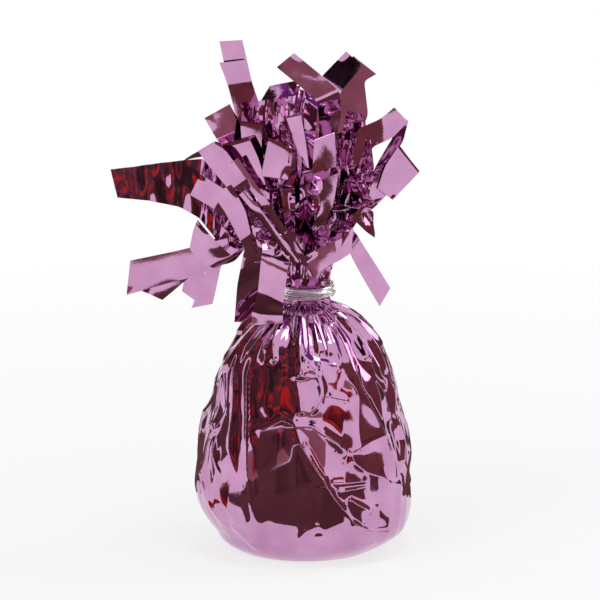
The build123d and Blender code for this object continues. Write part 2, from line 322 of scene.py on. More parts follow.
# The other strips, layer by layer: how many degrees the layer is turned about the upright away from the
# camera, how crumpled it is, and its stations from the root. A station has the pixels of the photograph that
# its two edges are at, and how far behind the axis they are in millimetres, together or each.
traced = {
    "inner_strip_09": [
        (0, 5, [(332, 200, 350, 204, -6), (332, 168, 354, 172, -6, -5), (336, 140, 352, 142, -4, -3)]),
        (0, 5, [(338, 196, 350, 198, -7), (344, 176, 362, 182, -8, -7), (356, 196, 368, 202, -9, -8)]),
    ],
    "crown_strip_05": [
        (28, 1, [
            (268, 172, 280, 168, -2), (238, 117, 261, 109, -2), (229, 86, 252, 83, -0.5),
            (221, 45, 243, 43, -1.4),
        ]),
        (28, 1, [
            (267, 173, 279, 169, -3), (237, 118, 260, 111, -3), (229, 88, 252, 85, -1.3),
            (221, 66, 247, 62, -1.8),
        ]),
    ],
    "inner_strip_05": [
        (8, 1, [(248, 178, 262, 172, 2), (217, 140, 243, 128, 3), (205, 119, 230, 105, 4)]),
    ],
    "inner_strip_06": [
        (-20, 1, [
            (262, 170, 276, 168, -3), (241, 121, 263, 123, -8.6), (243, 150, 262, 150, -9),
            (251, 188, 268, 190, -9.5),
        ]),
        (-20, 1, [
            (252, 175, 264, 172, -5), (222, 144, 248, 137, -11), (232, 163, 259, 160, -11.1),
            (250, 189, 266, 186, -11.3),
        ]),
    ],
    "crown_strip_06": [
        (0, 1, [
            (272, 170, 288, 168, -4), (256, 112, 288, 110, -5.5, -4.1), (270, 88, 299, 82, -2.6, -1.0),
        ]),
        (0, 5, [(268, 170, 286, 168, -5), (252, 130, 292, 126, -6, -5), (254, 104, 296, 98, -5.5, -4.5)]),
    ],
    "crown_strip_09": [
        (0, 1, [
            (318, 180, 330, 178, -2), (319, 122, 340, 114, -4), (317, 104, 339, 94, -6.5),
            (299, 88, 321, 78, -5.5), (277, 70, 294, 56, -4.3),
        ]),
    ],
    "crown_strip_08": [
        (0, 1, [(313, 160, 325, 158, -3), (320, 80, 340, 94, -2, -2.9), (346, 53, 361, 69, 2.5, 1.2)]),
    ],
    "crown_strip_01": [
        (0, 1, [
            (330, 170, 344, 168, 4), (332, 122, 368, 116, 5), (332, 84, 364, 82, 6.1),
            (353, 57, 376, 75, 6.9, 6.4),
        ]),
        (0, 5, [(334, 190, 350, 188, 1), (340, 150, 368, 154, 2, 3), (346, 112, 366, 116, 3, 4)]),
    ],
    "inner_strip_07": [
        (30, 1, [(280, 190, 294, 190, -8), (270, 137, 297, 150, -12.6), (262, 178, 288, 181, -13)]),
    ],
    "crown_strip_07": [
        (-30, 1, [
            (300, 172, 314, 172, -6), (285, 117, 300, 114, -12.8), (296, 148, 306, 146, -13),
            (306, 169, 309, 170, -13.2),
        ]),
    ],
    "inner_strip_08": [
        (25, 1, [(314, 185, 328, 185, -9), (314, 140, 334, 132, -11), (312, 176, 336, 168, -13)]),
    ],
    "outer_strip_15": [
        (-20, 1, [(321, 208, 333, 206, -15), (316, 184, 338, 175, -15.5)]),
    ],
    "outer_strip_14": [
        (0, 1, [(283, 232, 292, 228, -14), (297, 255, 304, 250, -12), (310, 276, 314, 270, -10)]),
        (0, 1, [(300, 262, 304, 257, -12.5), (262, 207, 268, 202, -14.5), (232, 164, 239, 160, -13.5)]),
        (0, 1, [(296, 268, 300, 263, -12.5), (255, 214, 260, 209, -15), (240, 196, 246, 191, -14.5)]),
    ],
    "outer_strip_12": [
        (-30, 1, [(232, 194, 248, 182, -11), (206, 163, 226, 152, -12), (199, 153, 216, 146, -12)]),
        (-30, 1, [(238, 226, 248, 208, -9), (212, 208, 224, 190, -11.5), (191, 196, 201, 176, -12, -11.8)]),
    ],
    "outer_strip_13": [
        (-5, 1, [
            (264, 240, 291, 246, -10.5, -12), (262, 256, 288, 269, -14.2),
            (258, 295, 283, 307, -14.7, -14.8), (252, 312, 283, 313, -14.2), (252, 325, 283, 323, -14.5),
        ]),
        (-25, 1, [
            (272, 262, 280, 256, -10), (254, 264, 258, 260, -13), (240, 240, 252, 236, -15.2),
            (226, 213, 246, 211, -15), (214, 196, 232, 186, -14.8),
        ]),
        (0, 1, [
            (270, 262, 276, 258, -10), (254, 264, 258, 262, -13.5, -14), (243, 228, 256, 232, -10.2, -10.9),
            (240, 212, 250, 216, -8.8, -9.5),
        ]),
    ],
    "outer_strip_10": [
        (0, 2.6, [
            (228, 178, 222, 247, 2, -3), (205, 159, 201, 219, 3.8, -1.8), (180, 161, 180, 207, 5.6, 0.6),
            (145, 165, 150, 201, 7.6, 3.2), (110, 169, 118, 198, 9.6, 5.6),
        ]),
    ],
    "outer_strip_11": [
        (0, 1, [
            (230, 238, 228, 262, -7.6, -8), (195, 247, 195, 277, -9.5, -10),
            (175, 252, 170, 283, -10.5, -11), (132, 261, 128, 295, -12.4, -13),
        ]),
        (-15, 1, [
            (225, 242, 235, 262, -4.8, -5), (180, 255, 197, 272, -7.8, -8), (143, 291, 163, 300, -8.9, -9),
        ]),
        (-20, 1, [(215, 270, 235, 258, -12.3), (190, 251, 221, 247, -12), (194, 232, 198, 221, -11.9)]),
    ],
    "outer_strip_08": [
        (-30, 1, [
            (225, 232, 240, 222, 9), (190, 262, 208, 258, 8.8), (184, 278, 204, 272, 8.6),
            (181, 291, 201, 305, 8.4, 8.2),
        ]),
        (-30, 1, [(232, 240, 246, 232, 8), (206, 270, 222, 262, 4.5), (191, 308, 212, 304, 3.9)]),
    ],
    "outer_strip_09": [
        (0, 1, [(244, 250, 266, 246, 5, 4), (237, 285, 263, 287, 6), (234, 322, 250, 322, 7.5, 8)]),
    ],
    "outer_strip_17": [
        (0, 1, [
            (355, 226, 353, 250, -8), (340, 240, 340, 260, -11), (320, 248, 326, 267, -11.9, -12),
            (304, 257, 314, 277, -12.6, -12.8),
        ]),
    ],
    "outer_strip_18": [
        (30, 1, [(357, 236, 349, 252, -6), (375, 264, 362, 277, -6), (390, 288, 379, 306, -6)]),
    ],
    "outer_strip_01": [
        (19, 1, [
            (364, 196, 376, 206, 1), (390, 156, 408, 174, 2), (401, 143, 421, 170, 1),
            (385, 166, 407, 185, 0.8), (377, 189, 392, 200, 0.7),
        ]),
    ],
    "outer_strip_02": [
        (0, 1, [
            (364, 190, 374, 196, 6, 5), (378, 162, 388, 166, 8, 6), (394, 136, 404, 140, 10, 8),
            (394, 110, 408, 121, 11, 9),
        ]),
    ],
    "inner_strip_01": [
        (30, 1, [
            (350, 170, 364, 176, 2), (358, 130, 372, 148, 3), (380, 120, 393, 138, 4),
            (394, 108, 408, 122, 4.2),
        ]),
        (0, 5, [(344, 205, 362, 212, -3), (346, 165, 374, 176, -1), (350, 132, 370, 140, 2)]),
    ],
    "outer_strip_03": [
        (0, 3, [
            (350, 200, 348, 214, 9, 8), (363, 205, 358, 224, 13, 10.5), (374, 204, 376, 237, 16, 12.5),
        ]),
    ],
    "crown_strip_02": [
        (0, 3.5, [(306, 140, 324, 140, 11, 12.5), (300, 88, 322, 92, 17, 18.5)]),
    ],
    "crown_strip_03": [
        (0, 5, [(290, 170, 304, 168, 6, 7.5), (278, 125, 304, 122, 9, 11.5), (280, 94, 306, 92, 12.5, 15)]),
        (0, 5, [(284, 168, 298, 166, 3, 4), (264, 118, 290, 116, 5, 7), (282, 88, 300, 86, 8, 10)]),
    ],
    "crown_strip_04": [
        (0, 1, [(268, 152, 270, 162, 7, 13), (236, 124, 238, 146, 12, 22)]),
    ],
    "inner_strip_02": [
        (0, 3.5, [(334, 165, 352, 170, 14, 12), (350, 138, 371, 142, 26, 24)]),
    ],
    "inner_strip_04": [
        (0, 1, [(256, 165, 270, 160, 10, 12), (215, 139, 222, 150, 22, 24), (178, 160, 190, 157, 30, 31)]),
    ],
    "outer_strip_04": [
        (0, 3, [(336, 180, 358, 186, 22, 20), (345, 176, 366, 180, 40, 38)]),
    ],
}

# Wound elastic strand round the neck: its turns, how it climbs, and how it wavers in height, radius and
# thickness by an amount and a rate
STRAND_RADIUS = 0.52
STRAND_TURNS = 4.3
STRAND_SIDES = 10
STRAND_SAMPLES = 430
STRAND_OFF_NECK = 0.1
CLIMB = 1.02
CLIMB_TURNS = 3.4
LONG_WAVER = (0.12, 1.37)
SHORT_WAVER = (0.08, 2.2)
RADIUS_WAVER = (0.12, 0.71)
THICKNESS_WAVER = (0.06, 3.1)

# The last turn, which crosses down over the others, and the rounding of the strand's two ends
CROSSING_TURNS = (3.45, 4.2)
CROSSING_END = (4.26, 4.3)
CROSSING_DROP = 2.4
CROSSING_LIFT = 0.55
TIP_TURNS = 0.02
TIP_SHARE = 0.02

# Sachet and sand, hidden by the wrapper: inset from the sack, lowest and highest level, half width of the
# seal that the top is pinched to, and wrinkles
Bag = namedtuple("Bag", "inset foot top seal wrinkles")
SACHET = Bag(1.9, 0.6, 62.0, 8.0, Relief(0.5, 9.0, 31))
SAND = Bag(2.6, 1.1, 57.0, 0.0, Relief(0.3, 9.0, 33))
BAG_COLUMNS = 96
BAG_ROWS = 60
BAG_SHARE = 0.94
PINCH_HEIGHT = 10.0
SEAL_HALF_THICKNESS = 0.4
HEAP_RISE = 2.0

# Grain of foil and sand in metres
BUMP_DISTANCE = 0.0004

# Studio: light from the surroundings, and the floor's size, colour and glow near and far from the object
WHITE = (1, 1, 1, 1)
AMBIENT = 0.55
FLOOR_SIZE = 6.0
FLOOR_COLOUR = (0.9, 0.9, 0.9, 1)
FLOOR_ROUGHNESS = 0.9
FLOOR_GLOW = 0.72
FLOOR_NEAR = 0.1
FLOOR_FAR = 0.4

# Lamps: place, size and power
LAMP_TARGET = (0, 0, 60)
lamps = {
    "key": ((-420, -420, 700), 420, 1.6),
    "top": ((60, -160, 800), 200, 1.0),
    "fill": ((600, 250, 520), 420, 1.2),
}

# Mottled colours of the cards that the film mirrors, as stops of a ramp
brown = [(0.3, (0.055, 0.025, 0.022)), (0.5, (0.14, 0.068, 0.06)), (0.7, (0.10, 0.047, 0.042))]
tan = [(0.3, (0.2, 0.1, 0.09)), (0.5, (0.36, 0.19, 0.18)), (0.7, (0.28, 0.14, 0.13))]
russet = [(0.3, (0.1, 0.036, 0.032)), (0.5, (0.2, 0.075, 0.068)), (0.7, (0.15, 0.056, 0.05))]
black = [(0.3, (0.008, 0.005, 0.006)), (0.7, (0.04, 0.022, 0.022))]
violet = [(0.35, (0.06, 0.012, 0.09)), (0.5, (0.28, 0.06, 0.36)), (0.65, (0.14, 0.03, 0.2))]
red = [(0.42, (0.08, 0.02, 0.02)), (0.52, (0.6, 0.035, 0.02)), (0.62, (0.3, 0.03, 0.025))]
warm = [
    (0.4, (0.035, 0.02, 0.02)),
    (0.54, (0.12, 0.05, 0.05)),
    (0.6, (0.2, 0.03, 0.03)),
    (0.63, (0.6, 0.035, 0.02)),
]
CARD_SCALE = 7.0
CARD_DETAIL = 3
CARD_LIFT = 1.5
LOW_CARD_TOP = 30
CARD_DISTANCE = 900.0
CARD_COLUMNS = 8
CARD_ROWS = 4

# Cards on a sphere round the object: two azimuths and two elevations in degrees
sky_cards = {
    "card_front": (tan, (243, 292), (2.5, 16)),
    "card_front_side": (brown, (222, 243), (2.5, 16)),
    "card_front_red": (red, (294, 311), (11, 21)),
    "card_front_left": (warm, (168, 258), (9, 64)),
    "card_front_dark": (black, (280, 302), (41, 54)),
    "card_front_violet": (violet, (282, 293), (32, 40)),
    "card_right": (russet, (317, 385), (0.5, 42)),
    "card_right_violet": (violet, (-25, 35), (46, 72)),
    "card_back_left": (brown, (120, 160), (0.2, 40)),
    "card_back": (warm, (82, 106), (8, 40)),
    "card_back_right": (brown, (30, 66), (0.2, 38)),
}

# Cards just above the floor: two azimuths in degrees and two radii
floor_cards = {
    "card_streak_left": (red, (186, 200), (52, 150)),
    "card_streak_side": (brown, (151, 154), (60, 170)),
    "card_streak_right": (brown, (335, 339), (34, 60)),
    "card_patch_right": (red, (316, 326), (90, 140)),
}

# Brown cards with four straight edges: left, right and depth of the near edge, the same of the far edge,
# and how high the far edge is
edge_cards = {
    "card_floor": ((-110, 90), -38, (-190, 150), -215, CARD_LIFT),
    "card_low": ((-200, 130), -215, (-200, 130), -215, LOW_CARD_TOP),
    "card_back_floor": ((90, -100), 45, (170, -190), 300, CARD_LIFT),
}


def smooth_curve(knots, values, where):
    """Values at places between knots, on a curve that doesn't overshoot them."""
    knots = np.asarray(knots, float)
    values = np.asarray(values, float)
    gaps = np.diff(knots)
    slopes = np.diff(values) / gaps
    tangents = np.zeros_like(values)
    same_way = slopes[:-1] * slopes[1:] > 0
    weight_a = 2 * gaps[1:] + gaps[:-1]
    weight_b = gaps[1:] + 2 * gaps[:-1]
    with np.errstate(divide="ignore", invalid="ignore"):
        mean = (weight_a + weight_b) / (weight_a / slopes[:-1] + weight_b / slopes[1:])
    tangents[1:-1] = np.where(same_way, mean, 0.0)
    tangents[0] = slopes[0]
    tangents[-1] = slopes[-1]
    where = np.clip(where, knots[0], knots[-1])
    cell = np.clip(np.searchsorted(knots, where) - 1, 0, len(gaps) - 1)
    u = (where - knots[cell]) / gaps[cell]
    start = values[cell] + gaps[cell] * tangents[cell] * u * (1 - u) ** 2
    rise = (values[cell + 1] - values[cell]) * u * u * (3 - 2 * u)
    end = gaps[cell] * tangents[cell + 1] * u * u * (1 - u)
    return start + rise - end


def smooth_step(low, high, x):
    """0 below low, 1 above high, and a smooth rise between."""
    u = np.clip((np.asarray(x, float) - low) / (high - low), 0.0, 1.0)
    return u * u * (3 - 2 * u)


def between(fades, x):
    """0 outside four places, 1 between the middle two, and a smooth rise and fall between."""
    return smooth_step(fades[0], fades[1], x) * (1 - smooth_step(fades[2], fades[3], x))


def unit(v):
    return v / np.linalg.norm(v, axis=-1, keepdims=True)


def turn(v, axis, degrees):
    """A vector turned about an axis."""
    angle = math.radians(degrees)
    axis = unit(np.asarray(axis, float))
    part = axis * np.dot(axis, v)
    return part + (v - part) * math.cos(angle) + np.cross(axis, v) * math.sin(angle)


def wave_noise(points, relief, more_seed, count, spread, shape):
    """A sum of plane waves of one shape in set directions, about as high as the relief says."""
    draw = np.random.RandomState(relief.seed + more_seed)
    total = np.zeros(points.shape[:-1])
    for _ in range(count):
        way = unit(draw.normal(size=3))
        length = relief.size * draw.uniform(*spread)
        total += shape(points @ way * (2 * math.pi / length) + draw.uniform(0, 2 * math.pi))
    return relief.height * total / math.sqrt(count)


def zigzag(phase):
    """A wave of straight lines between -1 and 1."""
    return np.arcsin(np.sin(phase)) * (2 / math.pi)


def waves(points, relief, more_seed=0):
    """Smooth noise."""
    return wave_noise(points, relief, more_seed, WAVE_COUNT, WAVE_SPREAD, np.sin)


def facets(points, relief, more_seed=0):
    """Noise of flat facets with straight creases between them, as crumpled foil has."""
    return wave_noise(points, relief, more_seed, FACET_COUNT, FACET_SPREAD, zigzag)


profile_heights = [share * NECK_HEIGHT for share, _, _ in sack_profile_shares]
profile_heights += [NECK_HEIGHT - BAND_HEIGHT / 2, NECK_HEIGHT + BAND_HEIGHT / 2, THROAT_HEIGHT, RIM_HEIGHT]
profile_radii = [share * SACK_RADIUS for _, share, _ in sack_profile_shares]
profile_radii += [NECK_RADIUS, NECK_RADIUS, THROAT_RADIUS, RIM_RADIUS]
film_valleys = [share for _, _, share in sack_profile_shares] + [FILM_VALLEY_SHARE] * 3
inner_valleys = film_valleys + [RIM_INNER_SHARE]
crown_valleys = film_valleys + [RIM_CROWN_SHARE]


def crest_radius(height):
    return smooth_curve(profile_heights, profile_radii, height)


def around(radius, angle, height):
    """Points at a radius and angle about the axis."""
    return np.stack(np.broadcast_arrays(radius * np.cos(angle), radius * np.sin(angle), height), -1)


def sight_point(column, row, depth):
    """The point seen at a pixel, so far behind the axis."""
    slope = math.radians(CAMERA_ELEVATION)
    height = ((BASE_ROW - row) * PIXEL - depth * math.sin(slope)) / math.cos(slope)
    return np.array([(column - AXIS_COLUMN) * PIXEL, depth, height])


def front_point(pixel):
    """Where the line of sight through a pixel meets the front of the sack."""
    column, row = pixel
    point = sight_point(column, row, 0.0)
    height = (BASE_ROW - row) * PIXEL
    for _ in range(SIGHT_ROUNDS):
        radius = float(crest_radius(np.array([height]))[0])
        point = sight_point(column, row, -math.sqrt(max(radius * radius - point[0] * point[0], 0.0)))
        height = min(max(point[2], 0.0), NECK_HEIGHT)
    return np.array([point[0], point[1], height])


def fill_in(points):
    """A path with more points, so that it follows the round of the sack."""
    points = np.asarray(points, float)
    lengths = np.linalg.norm(np.diff(points, axis=0), axis=1)
    along = np.concatenate([[0.0], np.cumsum(lengths)])
    places = np.linspace(0, along[-1], max(3, int(along[-1] / CREASE_STEP) + 1))
    return line_at(places, along, points)


def line_at(places, along, points):
    """Points of a line at some places along it."""
    return np.stack([np.interp(places, along, points[:, k]) for k in range(3)], -1)


def on_sack(path):
    """A path with each point brought out to the sack's own surface."""
    angle = np.arctan2(path[:, 1], path[:, 0])
    return around(crest_radius(path[:, 2]), angle, path[:, 2])


def crease_lift(points, outward, path, height, near, far):
    """How far a ridge along a path moves points outward: a soft-edged cusp, lower at its two ends."""
    reach = RIDGE_REACH * max(near, far)
    close = np.nonzero(((points > path.min(0) - reach) & (points < path.max(0) + reach)).all(-1))
    lift = np.zeros(points.shape[:-1])
    some = points[close]
    best = np.full(len(some), np.inf)
    side = np.zeros(len(some))
    place = np.zeros(len(some))
    count = len(path) - 1
    for number in range(count):
        start = path[number]
        run = path[number + 1] - start
        offset = some - start
        share = np.clip(offset @ run / (run @ run), 0, 1)
        gap = np.linalg.norm(offset - share[:, None] * run, axis=1)
        nearer = gap < best
        best = np.where(nearer, gap, best)
        side = np.where(nearer, (np.cross(run, offset) * outward[close]).sum(-1), side)
        place = np.where(nearer, (number + share) / count, place)
    rounded = np.hypot(best, RIDGE_ROUNDING) - RIDGE_ROUNDING
    width = np.where(side > 0, near, far)
    ends = smooth_step(*RIDGE_ENDS, place) * smooth_step(*RIDGE_ENDS, 1 - place)
    lift[close] = height * ends * np.exp(-rounded / width)
    return lift


def loose_creases():
    """Creases that the photograph doesn't show: paths, each with its height and its fall-off on two sides."""
    draw = np.random.RandomState(LOOSE_SEED)
    creases = []

    def add(angles, heights, sizes):
        path = around(crest_radius(heights), angles, heights)
        creases.append((path, *[draw.uniform(*size) for size in sizes]))

    for number in range(FANS):
        angle = (number + draw.uniform(-FAN_SHIFT, FAN_SHIFT)) * 2 * math.pi / FANS
        heights = np.linspace(FAN_TOP, draw.uniform(*FAN_FEET), FAN_POINTS)
        add(angle + np.linspace(0, draw.normal() * FAN_TURN, FAN_POINTS), heights, FAN_SIZES)
    for number in range(FALLS):
        angle = math.radians(FALL_START + number * FALL_APART) + draw.normal() * FALL_SHIFT
        foot = draw.uniform(*FALL_FEET)
        heights = np.linspace(draw.uniform(*FALL_TOPS), foot, FALL_POINTS)
        add(angle + np.cumsum(draw.normal(size=FALL_POINTS) * FALL_WANDER), heights, FALL_SIZES)
    for number in range(CROSSES):
        angle = math.radians(CROSS_START + number * CROSS_APART) + draw.normal() * CROSS_SHIFT
        height = draw.uniform(*CROSS_HEIGHTS)
        half = draw.uniform(*CROSS_SPANS) / 2
        heights = height + np.cumsum(draw.normal(size=CROSS_POINTS) * CROSS_WANDER)
        add(angle + np.linspace(-half, half, CROSS_POINTS), heights, CROSS_SIZES)
    return creases


def lean(angles, heights):
    left = smooth_curve(lean_heights, lean_left, heights)
    right = smooth_curve(lean_heights, lean_right, heights)
    return left * np.clip(-np.cos(angles), 0, 1) ** 2 + right * np.clip(np.cos(angles), 0, 1) ** 2


def fine_gathers(angles, heights):
    """How far the film stands out in the fine gathers just above and below the band."""
    draw = np.random.RandomState(GATHER_SEED)
    total = 0
    for count in GATHER_COUNTS:
        sway = draw.uniform(*GATHER_SWAYS)
        sway = sway * np.sin(heights * draw.uniform(*GATHER_TWISTS) + draw.uniform(*PHASES))
        total = total + np.arcsin(np.sin(count * angles + sway + draw.uniform(*PHASES)))
    away = np.abs(heights - NECK_HEIGHT) - BAND_HEIGHT / 2
    return GATHER_DEPTH * total * between(GATHER_FADES, away)


def pleated_radius(crest, angles, heights):
    """Radius of the film in straight-sided pleats whose crests have a given radius."""
    loose = 1 - smooth_step(*WARP_FADE, heights)
    warp = 0
    for size, count, phase, twist in pleat_warps:
        warp = warp + size * np.sin(count * angles + phase + heights * twist)
    pleat = (angles + warp * loose) / PLEAT_ANGLE
    beside = np.abs(pleat - np.round(pleat)) * 2
    valley = np.floor(pleat).astype(int) % PLEATS
    shallow = smooth_curve(profile_heights, inner_valleys, heights)
    deep = smooth_curve(profile_heights, crown_valleys, heights)
    share = np.where(valley % 2 == 1, deep, shallow)
    draw = np.random.RandomState(PLEAT_SEED)
    foot = draw.uniform(*BACK_FEET, PLEATS)
    foot[PLEATS // 2:] = draw.uniform(*FRONT_FEET, PLEATS - PLEATS // 2)
    risen = smooth_step(0, PLEAT_RISE, heights - foot[valley])
    depth = (1 - share) * (LEAST_DEPTH + (1 - LEAST_DEPTH) * risen)
    straight = (1 - depth) * math.sin(PLEAT_ANGLE / 2)
    inside = np.sin(beside * PLEAT_ANGLE / 2) + (1 - depth) * np.sin((1 - beside) * PLEAT_ANGLE / 2)
    return crest * straight / inside


def wrapper_grid():
    """Points of the wrapper from the edge of its base up to its rim, row by row."""
    fine = np.linspace(0, RIM_HEIGHT, PROFILE_SAMPLES)
    steps = np.hypot(np.diff(fine), np.diff(crest_radius(fine)))
    length = np.concatenate([[0.0], np.cumsum(steps)])
    rows = int(length[-1] / ROW_STEP)
    heights = np.interp(np.linspace(0, length[-1], rows), length, fine)[:, None]
    angles = (np.arange(COLUMNS) * 2 * math.pi / COLUMNS)[None, :]
    crest = crest_radius(heights)
    radius = pleated_radius(crest, angles, heights)

    points = around(radius, angles, heights)
    outward = around(1.0, np.broadcast_to(angles, radius.shape), 0.0 * heights)
    on_crest = around(crest, angles, heights)
    lift = waves(on_crest, SACK_SWELLS) + waves(on_crest, SACK_WAVES) + lean(angles, heights)
    seen_creases = [([front_point(pixel) for pixel in pixels], *sizes) for *sizes, pixels in front_creases]
    for path, height, near, far in seen_creases + loose_creases():
        lift = lift + crease_lift(on_crest, outward, on_sack(fill_in(path)), height, near, far)
    for pixel, size in front_crinkles:
        gap = np.linalg.norm(on_crest - front_point(pixel), axis=-1)
        lift = lift + facets(on_crest, SACK_CRINKLES) * np.exp(-((gap / size) ** 2))
    lift = np.minimum(lift, HIGHEST_LIFT) * between(SACK_FADES, heights)
    lift = lift + facets(points, RUFF_CRINKLES) * between(RUFF_FADES, heights)
    lift = lift + fine_gathers(angles, heights)
    return points + outward * lift[..., None]


def mesh_object(name, points, faces, material, smooth=True):
    """A mesh piece from points in millimetres."""
    mesh = bpy.data.meshes.new(name)
    mesh.from_pydata((np.asarray(points) * MM).tolist(), [], faces)
    mesh.validate()
    mesh.polygons.foreach_set("use_smooth", [smooth] * len(mesh.polygons))
    mesh.set_sharp_from_angle(angle=SHARP_EDGE)
    mesh.materials.append(material)
    piece = bpy.data.objects.new(name, mesh)
    bpy.context.scene.collection.objects.link(piece)
    return piece


def ring_numbers(rings, columns):
    """Point numbers of rings that follow each other."""
    return [list(range(ring * columns, (ring + 1) * columns)) for ring in range(rings)]


def tube_faces(rings):
    """Quads between rings of point numbers."""
    faces = []
    for lower, upper in zip(rings, rings[1:]):
        faces += zip(lower, lower[1:] + lower[:1], upper[1:] + upper[:1], upper)
    return faces


def fan_faces(centre, ring):
    """Triangles from a middle point to a ring."""
    return [(centre, second, first) for first, second in zip(ring, ring[1:] + ring[:1])]


def make_wrapper(material):
    grid = wrapper_grid()
    base = [grid[0] * (1 - ring / BASE_RINGS) for ring in range(1, BASE_RINGS)]
    points = np.concatenate([grid.reshape(-1, 3), *base, np.zeros((1, 3))])
    rings = ring_numbers(len(grid) + len(base), COLUMNS)
    faces = tube_faces(rings[len(grid):][::-1] + rings[:len(grid)])
    faces += fan_faces(len(points) - 1, rings[-1])
    return mesh_object("wrapper_film", points, faces, material)


# In the functions of a strip, s is how far along the film from the rim and t how far across it, from -1 to 1


def strip_axes(strip, place, heading):
    """Root point of a flat strip and its own axes: along it, across it and off its face."""
    across = np.array([-math.sin(heading), math.cos(heading), 0.0])
    along = turn(np.array([math.cos(heading), math.sin(heading), 0.0]), across, -strip.lift)
    across = turn(across, along, strip.roll)
    root = place + np.array([0, 0, abs(across[2]) * ROOT_WIDTH / 2])
    return root, along, across, np.cross(along, across)


def rim_line(pleat, past):
    """The line of a crest or valley of the ruff, carried on past the rim. Valleys are half pleats."""
    if pleat == round(pleat):
        low = THROAT_RADIUS
        high = RIM_RADIUS
    else:
        low = NECK_VALLEY_SHARE * THROAT_RADIUS
        high = RIM_RADIUS * (RIM_CROWN_SHARE if int(math.floor(pleat)) % 2 else RIM_INNER_SHARE)
    angle = pleat * PLEAT_ANGLE
    foot = around(low, angle, THROAT_HEIGHT)
    rim = around(high, angle, RIM_HEIGHT)
    return rim + unit(rim - foot) * past[..., None]


def strip_points(strip, place, pleat, gathered, seed, behind):
    """Grid of points of one layer of a strip that the photograph doesn't show."""
    draw = np.random.RandomState(seed)
    fan = draw.choice([-1, 1]) * draw.uniform(*LAYER_FANS)
    shorter = draw.uniform(*LAYER_SHARES)
    root, along, across, normal = strip_axes(strip, place, pleat * PLEAT_ANGLE)
    half = strip.width_share * STRIP_WIDTH / 2
    runs = [share * STRIP_LENGTH for share in strip.run_shares]
    gap = LAYER_GAP if behind else 0
    bend = gap + (SHARP_BEND if strip.fold > SOFT_BEND_ANGLE else SOFT_BEND)
    fold = math.radians(strip.fold)
    arc = bend * fold
    total = runs[0] + runs[1] * (shorter if behind else 1) + arc
    rows = int((total + OVERLAP) / STRIP_STEP)
    t = np.linspace(-1, 1, STRIP_COLUMNS)[None, :]
    tip_skew = -strip.tip_skew if behind else strip.tip_skew
    end = total + t * half * math.tan(math.radians(tip_skew))
    s = -OVERLAP + np.linspace(0, 1, rows)[:, None] * (end + OVERLAP)
    widened = min(strip.taper, LONGEST_TAPER_SHARE * runs[0])
    beside = t * (ROOT_WIDTH / 2 + (half - ROOT_WIDTH / 2) * smooth_step(TAPER_START, widened, s))

    spread = math.radians(fan if behind else 0) * smooth_step(0, LAYER_FAN_RUN, s)
    reach = s * np.cos(spread) - beside * np.sin(spread)
    side = s * np.sin(spread) + beside * np.cos(spread)
    skew = math.radians(strip.skew)
    past = (reach - runs[0]) * math.cos(skew) - side * math.sin(skew)
    on_line = (reach - runs[0]) * math.sin(skew) + side * math.cos(skew)
    angle = np.clip(past / bend, 0, fold)
    beyond = np.maximum(past - arc, 0)
    forward = np.where(past > 0, bend * np.sin(angle) + beyond * np.cos(angle), past)
    drop = np.where(past > 0, bend * (1 - np.cos(angle)) + beyond * np.sin(angle), 0)
    calm = 1 - FOLD_CALM * np.exp(-np.abs(past - arc / 2) / FOLD_CALM_REACH)
    off = crumpled(s, beside, t, total, strip.crumple, draw, seed) * calm
    off = off + gap * smooth_step(0, GAP_RUN, s)
    forward = forward + off * np.sin(angle)
    rise = off * np.cos(angle) - drop
    fold_line = along * math.sin(skew) + across * math.cos(skew)
    fold_way = along * math.cos(skew) - across * math.sin(skew)
    points = root + along * runs[0] + on_line[..., None] * fold_line
    points = points + forward[..., None] * fold_way + rise[..., None] * normal
    return gather(points, s, t, pleat, across, gathered, behind)


def crumpled(s, beside, t, total, amount, draw, seed):
    """How far film stands off its own plane: waves, flat facets, a camber and one turned-up corner."""
    flat = np.stack(np.broadcast_arrays(s, beside, 0.0), -1)
    ripple = facets(flat, STRIP_FACETS, seed) + waves(flat, STRIP_WAVES, seed)
    if amount > LITTLE_CRUMPLE:
        ripple = ripple + facets(flat, CRUMPLE_FACETS, seed)
    if amount == DEEP_CRUMPLE:
        phase = beside * CRUMPLE_PLEAT_RATE + waves(flat, CRUMPLE_SWAY, seed) + draw.uniform(*PHASES)
        ripple = ripple + CRUMPLE_PLEAT_DEPTH * np.arcsin(np.sin(phase))
    near_root = 1 + ROOT_CRUMPLE * (1 - smooth_step(*ROOT_CRUMPLE_FADE, s))
    ripple = amount * near_root * ripple + draw.uniform(*CAMBERS) * t * t
    corner = smooth_step(CORNER_START, 1, t * draw.choice([-1, 1]))
    corner = corner * smooth_step(total - CORNER_LENGTH, total, s)
    return (ripple + draw.uniform(*CORNER_RISES) * corner) * smooth_step(*ROOT_FREE, s)


def gather(points, s, t, pleat, across, length, behind):
    """Points of a strip with its root drawn into the pleat of the ruff that it grows from."""
    middle = rim_line(pleat, s)
    first = rim_line(pleat - 0.5, s)
    second = rim_line(pleat + 0.5, s)
    tangent = np.array([-math.sin(pleat * PLEAT_ANGLE), math.cos(pleat * PLEAT_ANGLE), 0.0])
    if np.dot(tangent, across) < 0:
        first, second = second, first
    beside_middle = np.where((t < 0)[..., None], first, second) - middle
    outward = around(1.0, pleat * PLEAT_ANGLE, 0.0)
    root = middle + ROOT_SPREAD * np.abs(t)[..., None] * beside_middle
    root = root + outward * (-OVERLAP_LIFT if behind else OVERLAP_LIFT)
    free = smooth_step(0, length, s)[..., None]
    return root * (1 - free) + points * free


